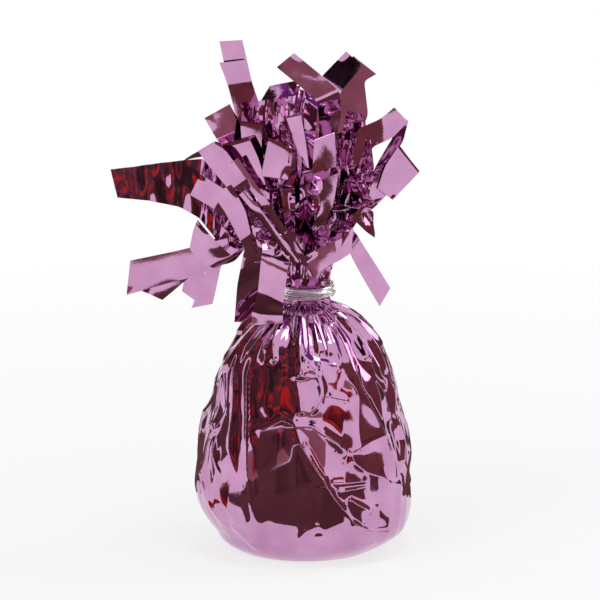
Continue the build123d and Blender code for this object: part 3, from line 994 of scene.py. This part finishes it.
def eased(line):
    """A line of points with its corners rounded a little and its ends kept."""
    padded = np.concatenate([np.repeat(line[:1], FOLD_EASE, 0), line, np.repeat(line[-1:], FOLD_EASE, 0)])
    weights = np.hanning(2 * FOLD_EASE + 3)[1:-1]
    weights = weights / weights.sum()
    smooth = np.stack([np.convolve(padded[:, k], weights, "valid") for k in range(3)], -1)
    smooth[0] = line[0]
    smooth[-1] = line[-1]
    return smooth


def traced_points(layer, place, pleat, gathered, seed, behind):
    """Grid of points of one layer of a strip that the photograph shows, through its traced edges."""
    yaw, crumple, stations = layer
    draw = np.random.RandomState(seed)
    middle = np.mean([(station[0], station[2]) for station in stations])
    slant = math.tan(math.radians(yaw)) * PIXEL
    left = [sight_point(x, y, depths[0] + slant * (x - middle)) for x, y, _, _, *depths in stations]
    right = [sight_point(x, y, depths[-1] + slant * (x - middle)) for _, _, x, y, *depths in stations]
    angle = pleat * PLEAT_ANGLE
    tangent = np.array([-math.sin(angle), math.cos(angle), 0.0]) * ROOT_WIDTH / 2
    if np.dot(tangent, right[0] - left[0]) < 0:
        tangent = -tangent
    left = np.array([place - tangent] + left)
    right = np.array([place + tangent] + right)
    steps = np.linalg.norm(np.diff((left + right) / 2, axis=0), axis=1)
    length = np.concatenate([[0.0], np.cumsum(steps)])
    s = np.linspace(-OVERLAP, length[-1], int((length[-1] + OVERLAP) / STRIP_STEP))
    left = eased(line_at(np.maximum(s, 0), length, left))
    right = eased(line_at(np.maximum(s, 0), length, right))
    t = np.linspace(-1, 1, STRIP_COLUMNS)[None, :]
    points = left[:, None] * (1 - t[..., None]) / 2 + right[:, None] * (1 + t[..., None]) / 2
    s = np.repeat(s[:, None], STRIP_COLUMNS, 1)
    width = np.linalg.norm(right - left, axis=1)[:, None] / 2
    off = crumpled(s, t * width, t, length[-1], crumple, draw, seed)
    points = points + grid_normals(points) * off[..., None]
    return gather(points, s, t, pleat, tangent, gathered, behind)


def grid_normals(points):
    """Unit normals of a grid of points."""
    down = np.gradient(points, axis=0)
    right = np.gradient(points, axis=1)
    return unit(np.cross(down, right) + TINY)


def grid_faces(number):
    """Quads between the point numbers of a grid."""
    corners = [number[:-1, :-1], number[1:, :-1], number[1:, 1:], number[:-1, 1:]]
    return np.stack([corner.ravel() for corner in corners], -1)


def sheet_mesh(points, first):
    """Points and faces of a closed thin sheet over a grid of points, numbered from a first one."""
    rows, columns = points.shape[:2]
    facing = grid_normals(points) * (FOIL_THICKNESS / 2)
    both = np.concatenate([(points + facing).reshape(-1, 3), (points - facing).reshape(-1, 3)])
    size = rows * columns
    number = np.arange(size).reshape(rows, columns) + first
    top = grid_faces(number)
    under = top[:, ::-1] + size
    edge = np.concatenate([number[:, 0], number[-1, 1:], number[-2::-1, -1], number[0, -2:0:-1]])
    ahead = np.roll(edge, -1)
    sides = np.stack([edge, edge + size, ahead + size, ahead], -1)
    return both, np.concatenate([top, under, sides]).tolist()


def make_strip(name, layers, material):
    """A piece of film layers that lie on each other."""
    points = []
    faces = []
    count = 0
    for layer in layers:
        more, corners = sheet_mesh(layer, count)
        points.append(more)
        faces += corners
        count += len(more)
    return mesh_object(name, np.concatenate(points), faces, material)


def strip_layers(node, place, pleat, seed):
    """Grids of points of all layers of a strip."""
    gathered = gathered_lengths.get(node, GATHERED)
    if node in hidden_strips:
        strip = hidden_strips[node]
        return [strip_points(strip, place, pleat, gathered, seed, behind) for behind in (False, True)]
    layers = []
    for number, layer in enumerate(traced[node]):
        layer_seed = seed + LAYER_SEED * number
        layers.append(traced_points(layer, place, pleat, gathered, layer_seed, number > 0))
    return layers


def make_fringe(material):
    """All strips by the CAD node that each stands for: on crests, on shallow valleys and on deep valleys."""
    above = RIM_HEIGHT + CLEARANCE
    rings = [
        ("outer", 0.0, 1, RIM_RADIUS + CLEARANCE, RIM_HEIGHT),
        ("inner", 0.5, 2, RIM_INNER_SHARE * RIM_RADIUS, above),
        ("crown", 1.5, 2, RIM_CROWN_SHARE * RIM_RADIUS, above),
    ]
    strips = {}
    for ring, first, every, radius, height in rings:
        for number in range(PLEATS // every):
            pleat = first + number * every
            place = around(radius, pleat * PLEAT_ANGLE, height)
            node = f"{ring}_strip_{number + 1:02d}"
            layers = strip_layers(node, place, pleat, STRIP_SEED + len(strips))
            strips[node] = make_strip(f"{node}_film", layers, material)
    return strips


def make_band(material):
    """An uneven winding of one strand, with a turn that crosses the others."""
    turns = np.linspace(0, STRAND_TURNS, STRAND_SAMPLES)
    angle = turns * 2 * math.pi
    crossing = smooth_step(*CROSSING_TURNS, turns)
    height = NECK_HEIGHT - BAND_HEIGHT / 2 + STRAND_RADIUS + np.minimum(turns, CLIMB_TURNS) * CLIMB
    height = height + LONG_WAVER[0] * np.sin(angle * LONG_WAVER[1])
    height = height + SHORT_WAVER[0] * np.sin(angle * SHORT_WAVER[1] + 1) - crossing * CROSSING_DROP
    radius = NECK_RADIUS + STRAND_OFF_NECK + STRAND_RADIUS
    radius = radius + RADIUS_WAVER[0] * np.sin(angle * RADIUS_WAVER[1]) ** 2
    radius = radius + crossing * (1 - smooth_step(*CROSSING_END, turns)) * CROSSING_LIFT
    path = around(radius, angle, height)
    ahead = unit(np.gradient(path, axis=0))
    out = around(np.ones_like(angle), angle, 0 * angle)
    out = unit(out - (out * ahead).sum(-1, keepdims=True) * ahead)
    up = np.cross(ahead, out)
    thick = STRAND_RADIUS * (1 + THICKNESS_WAVER[0] * np.sin(angle * THICKNESS_WAVER[1]))
    to_end = np.minimum(turns, STRAND_TURNS - turns)
    tips = np.minimum(1, np.sqrt(to_end / TIP_TURNS + TIP_SHARE))
    rounds = np.arange(STRAND_SIDES) * 2 * math.pi / STRAND_SIDES
    section = np.cos(rounds)[None, :, None] * out[:, None, :] + np.sin(rounds)[None, :, None] * up[:, None, :]
    points = path[:, None, :] + section * (thick * tips)[:, None, None]
    rings = ring_numbers(STRAND_SAMPLES, STRAND_SIDES)
    faces = [rings[0], rings[-1][::-1]] + [face[::-1] for face in tube_faces(rings)]
    return mesh_object("band_strand", points.reshape(-1, 3), faces, material)


def make_bag(name, bag, material):
    """A closed bag inside the sack, whose top is pinched to a flat seal or left as a heap."""
    rows = []
    angle = np.arange(BAG_COLUMNS) * 2 * math.pi / BAG_COLUMNS
    for height in np.linspace(bag.foot, bag.top, BAG_ROWS):
        radius = float(crest_radius(np.array([height]))[0]) * BAG_SHARE - bag.inset
        ring = around(radius, angle, height)
        pinch = float(smooth_step(bag.top - PINCH_HEIGHT, bag.top, height)) if bag.seal else 0.0
        flat = [bag.seal * np.cos(angle), SEAL_HALF_THICKNESS * np.sin(angle), np.full_like(angle, height)]
        ring = ring * (1 - pinch) + np.stack(flat, -1) * pinch
        wrinkle = facets(ring, bag.wrinkles) * (1 - pinch)
        rows.append(ring - around(1.0, angle, 0.0) * np.abs(wrinkle)[:, None])
    rise = 0.0 if bag.seal else HEAP_RISE
    points = np.concatenate(rows + [[[0, 0, bag.foot], [0, 0, bag.top + rise]]])
    rings = ring_numbers(BAG_ROWS, BAG_COLUMNS)
    faces = tube_faces(rings)
    faces += fan_faces(len(points) - 2, rings[0])
    faces += fan_faces(len(points) - 1, rings[-1][::-1])
    return mesh_object(name, points, faces, material)


def add_node(nodes, kind, operation=None, **values):
    """A new shader node with some of its sockets set."""
    node = nodes.new(f"ShaderNode{kind}")
    if operation:
        node.operation = operation
    for socket, value in values.items():
        node.inputs[socket.replace("_", " ")].default_value = value
    return node


class Look:
    """A material with its nodes, the sockets of its main shader and the object's own coordinates."""

    def __init__(self, name, values):
        self.material = bpy.data.materials.new(name)
        self.material.use_nodes = True
        self.nodes = self.material.node_tree.nodes
        self.links = self.material.node_tree.links
        self.shader = self.nodes["Principled BSDF"]
        self.inputs = self.shader.inputs
        self.coords = self.node("TexCoord").outputs["Object"]
        for socket, value in values.items():
            self.inputs[socket].default_value = value

    def node(self, kind, operation=None, **values):
        """A new node with some of its sockets set."""
        return add_node(self.nodes, kind, operation, **values)

    def noise(self, scale, detail, roughness=0.5):
        """A cloudy value all through the object."""
        texture = self.node("TexNoise", Scale=scale, Detail=detail, Roughness=roughness)
        self.links.new(self.coords, texture.inputs["Vector"])
        return texture.outputs["Fac"]

    def ramp(self, source, stops, target):
        """Colours, or greys for a single value, that go from a source into a socket."""
        ramp = self.node("ValToRGB")
        elements = ramp.color_ramp.elements
        while len(elements) < len(stops):
            elements.new(0.5)
        for element, (place, colour) in zip(elements, stops):
            element.position = place
            element.color = (*colour, 1)
        self.links.new(source, ramp.inputs["Fac"])
        self.links.new(ramp.outputs["Color"], target)

    def bump(self, source, strength):
        """Fine grain of the surface."""
        bump = self.node("Bump", Strength=strength, Distance=BUMP_DISTANCE)
        self.links.new(source, bump.inputs["Height"])
        self.links.new(bump.outputs["Normal"], self.inputs["Normal"])

    def surface(self, output):
        """Makes a shader's output the material's surface."""
        self.links.new(output, self.nodes["Material Output"].inputs["Surface"])


def grey(value):
    return (value, value, value)


def foil_material():
    """Pink metallised film: nearly a mirror, with cloudy tint, fine grain and faint rubbed patches."""
    look = Look("pink_foil", {"Metallic": 1.0})
    cloud = look.noise(scale=130, detail=4)
    look.ramp(cloud, [(0.3, (0.53, 0.26, 0.46)), (0.7, (0.635, 0.34, 0.565))], look.inputs["Base Color"])
    rubbed = look.noise(scale=260, detail=6, roughness=0.6)
    look.ramp(rubbed, [(0.35, grey(0.03)), (0.75, grey(0.1))], look.inputs["Roughness"])
    look.bump(look.noise(scale=1500, detail=3), strength=0.008)
    return look.material


def strand_material():
    """Clear elastic: see-through and slightly cloudy."""
    look = Look("clear_elastic", {"Transmission Weight": 0.85, "IOR": 1.48})
    haze = look.noise(scale=500, detail=4)
    look.ramp(haze, [(0.3, (0.86, 0.80, 0.84)), (0.7, (0.97, 0.94, 0.96))], look.inputs["Base Color"])
    look.ramp(haze, [(0.3, grey(0.06)), (0.8, grey(0.22))], look.inputs["Roughness"])
    return look.material


def sachet_material():
    """Thin clear plastic film with a milky cast."""
    look = Look("sachet_film", {"Alpha": 0.35})
    cloud = look.noise(scale=180, detail=5)
    look.ramp(cloud, [(0.3, (0.80, 0.81, 0.82)), (0.7, (0.92, 0.93, 0.94))], look.inputs["Base Color"])
    look.ramp(cloud, [(0.3, grey(0.15)), (0.8, grey(0.3))], look.inputs["Roughness"])
    return look.material


def sand_material():
    """Washed sand: grains of several buffs, dull and rough."""
    look = Look("washed_sand", {"Roughness": 0.85})
    grains = look.node("TexVoronoi", Scale=1400)
    look.links.new(look.coords, grains.inputs["Vector"])
    split = look.node("SeparateColor")
    look.links.new(grains.outputs["Color"], split.inputs["Color"])
    stops = [(0.0, (0.30, 0.22, 0.14)), (0.45, (0.55, 0.43, 0.28)), (1.0, (0.78, 0.69, 0.52))]
    look.ramp(split.outputs["Red"], stops, look.inputs["Base Color"])
    look.bump(grains.outputs["Distance"], strength=0.6)
    return look.material


def background_rays(nodes, links):
    """1 for a ray from the camera, a reflection or a refraction, and 0 for a ray that only lights."""
    path = add_node(nodes, "LightPath")
    shown = path.outputs["Is Camera Ray"]
    for ray in ("Is Glossy Ray", "Is Transmission Ray"):
        either = add_node(nodes, "Math", "MAXIMUM")
        links.new(shown, either.inputs[0])
        links.new(path.outputs[ray], either.inputs[1])
        shown = either.outputs[0]
    return shown


def make_world():
    world = bpy.data.worlds.new("studio")
    bpy.context.scene.world = world
    world.use_nodes = True
    nodes = world.node_tree.nodes
    links = world.node_tree.links
    strength = add_node(nodes, "MapRange", To_Min=AMBIENT, To_Max=1.0)
    links.new(background_rays(nodes, links), strength.inputs["Value"])
    background = nodes["Background"]
    background.inputs["Color"].default_value = WHITE
    links.new(strength.outputs["Result"], background.inputs["Strength"])


def make_floor():
    """A pale floor that glows white away from the object and keeps its shadow close by."""
    values = {"Base Color": FLOOR_COLOUR, "Roughness": FLOOR_ROUGHNESS, "Specular IOR Level": 0.0}
    look = Look("floor", values)
    distance = look.node("VectorMath", "LENGTH")
    look.links.new(look.coords, distance.inputs[0])
    fade = look.node("MapRange", From_Min=FLOOR_NEAR, From_Max=FLOOR_FAR, To_Min=FLOOR_GLOW, To_Max=1.0)
    look.links.new(distance.outputs["Value"], fade.inputs["Value"])
    share = look.node("Math", "MULTIPLY")
    look.links.new(background_rays(look.nodes, look.links), share.inputs[0])
    look.links.new(fade.outputs["Result"], share.inputs[1])
    mix = look.node("MixShader")
    look.links.new(share.outputs[0], mix.inputs["Fac"])
    look.links.new(look.shader.outputs["BSDF"], mix.inputs[1])
    look.links.new(look.node("Emission").outputs["Emission"], mix.inputs[2])
    look.surface(mix.outputs["Shader"])
    bpy.ops.mesh.primitive_plane_add(size=FLOOR_SIZE)
    floor = bpy.context.object
    floor.name = "floor"
    floor.data.materials.append(look.material)


def make_card(name, stops, points):
    """A mottled card that only reflections see, so that the film has something dark or warm to mirror."""
    look = Look(name, {})
    glow = look.node("Emission")
    look.ramp(look.noise(CARD_SCALE, CARD_DETAIL), stops, glow.inputs["Color"])
    look.surface(glow.outputs["Emission"])
    rows, columns = points.shape[:2]
    numbers = np.arange(rows * columns).reshape(rows, columns)
    faces = grid_faces(numbers.T).tolist()
    card = mesh_object(name, points.reshape(-1, 3), faces, look.material, smooth=False)
    card.visible_camera = False
    card.visible_diffuse = False
    card.visible_shadow = False
    card.visible_transmission = False


def make_cards():
    for name, (stops, azimuths, elevations) in sky_cards.items():
        across = np.radians(np.linspace(*azimuths, CARD_COLUMNS + 1))[None, :]
        up = np.radians(np.linspace(*elevations, CARD_ROWS + 1))[:, None]
        make_card(name, stops, around(CARD_DISTANCE * np.cos(up), across, CARD_DISTANCE * np.sin(up)))
    for name, (stops, azimuths, radii) in floor_cards.items():
        across = np.radians(azimuths)[None, :]
        make_card(name, stops, around(np.array(radii)[:, None], across, CARD_LIFT))
    for name, (near, near_depth, far, far_depth, top) in edge_cards.items():
        near_edge = [(x, near_depth, CARD_LIFT) for x in near]
        far_edge = [(x, far_depth, top) for x in far]
        make_card(name, brown, np.array([near_edge, far_edge], float))


def area_light(name, place, target, size, power):
    light = bpy.data.lights.new(name, "AREA")
    light.shape = "SQUARE"
    light.size = size * MM
    light.energy = power
    lamp = bpy.data.objects.new(name, light)
    bpy.context.scene.collection.objects.link(lamp)
    lamp.location = [c * MM for c in place]
    aim_at(lamp, place, target)


def aim_at(item, place, target):
    """Turns a lamp or camera to look from a place to a target."""
    way = unit(np.asarray(target, float) - np.asarray(place, float))
    yaw = math.atan2(way[1], way[0]) - math.pi / 2
    item.rotation_euler = (math.acos(-way[2]), 0, yaw)


def make_lights():
    for name, (place, size, power) in lamps.items():
        area_light(name, place, LAMP_TARGET, size, power)


def make_camera():
    slope = math.radians(CAMERA_ELEVATION)
    middle = FRAME_PIXELS / 2
    target = np.array([(middle - AXIS_COLUMN) * PIXEL, 0, (BASE_ROW - middle) * PIXEL / math.cos(slope)])
    place = target + CAMERA_DISTANCE * np.array([0, -math.cos(slope), math.sin(slope)])
    lens = bpy.data.cameras.new("camera")
    lens.sensor_width = SENSOR_WIDTH
    lens.lens = SENSOR_WIDTH * CAMERA_DISTANCE / (FRAME_PIXELS * PIXEL)
    camera = bpy.data.objects.new("camera", lens)
    bpy.context.scene.collection.objects.link(camera)
    camera.location = place * MM
    aim_at(camera, place, target)
    bpy.context.scene.camera = camera


def stand_in(piece, node):
    """Puts a piece in the place of a CAD node of the root body."""
    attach(piece, "root")
    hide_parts(node)


bpy.context.scene.view_settings.view_transform = "Standard"
make_camera()
make_world()
make_floor()
make_cards()
make_lights()

foil = foil_material()
wrapper = make_wrapper(foil)
stand_in(wrapper, "foil_wrap")

fringe = make_fringe(foil)
creases = {joint["child"]: np.array(joint["pos_m"]) for joint in frame["joints"]}
for node, piece in fringe.items():
    flap = node.replace("strip", "flap")
    if flap in creases:
        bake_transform(piece)
    else:
        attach(piece, "root")
    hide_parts(node)

stand_in(make_band(strand_material()), "neck_band")
stand_in(make_bag("sachet_bag", SACHET, sachet_material()), "inner_bag")
stand_in(make_bag("sand_heap", SAND, sand_material()), "sand_fill")
